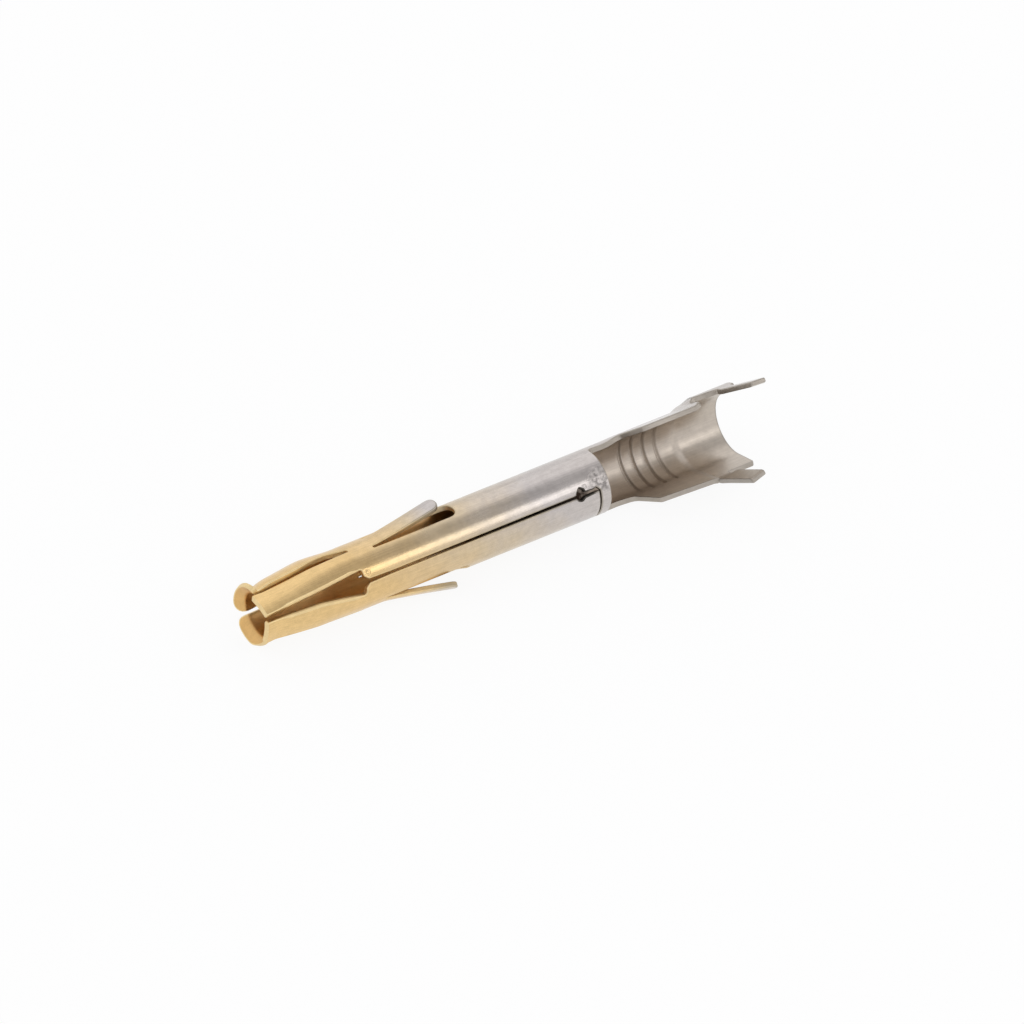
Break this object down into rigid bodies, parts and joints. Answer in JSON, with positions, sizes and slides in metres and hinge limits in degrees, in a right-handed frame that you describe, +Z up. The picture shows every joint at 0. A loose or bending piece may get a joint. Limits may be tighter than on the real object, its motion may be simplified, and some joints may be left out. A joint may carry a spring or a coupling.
{
  "type": "female connector contact",
  "caption": "Stamped and rolled crimp socket contact with spring fingers, outward lances, an open wire barrel and a staggered insulation barrel.",
  "frame": {"origin": "on the contact's axis, where the four fingers grip the pin, 0.5 mm behind the mouth", "axes": "+X along the axis from the mouth to the wire end, +Z up with the contact lying on its side"},
  "size_m": [0.0215, 0.0053, 0.0051],
  "materials": {
    "plated_copper_alloy": "satin copper alloy, gold plated at the mating end and tin coloured at the crimp end"
  },
  "bodies": {
    "root": {"socket_contact": "plated_copper_alloy"}
  },
  "joints": []
}
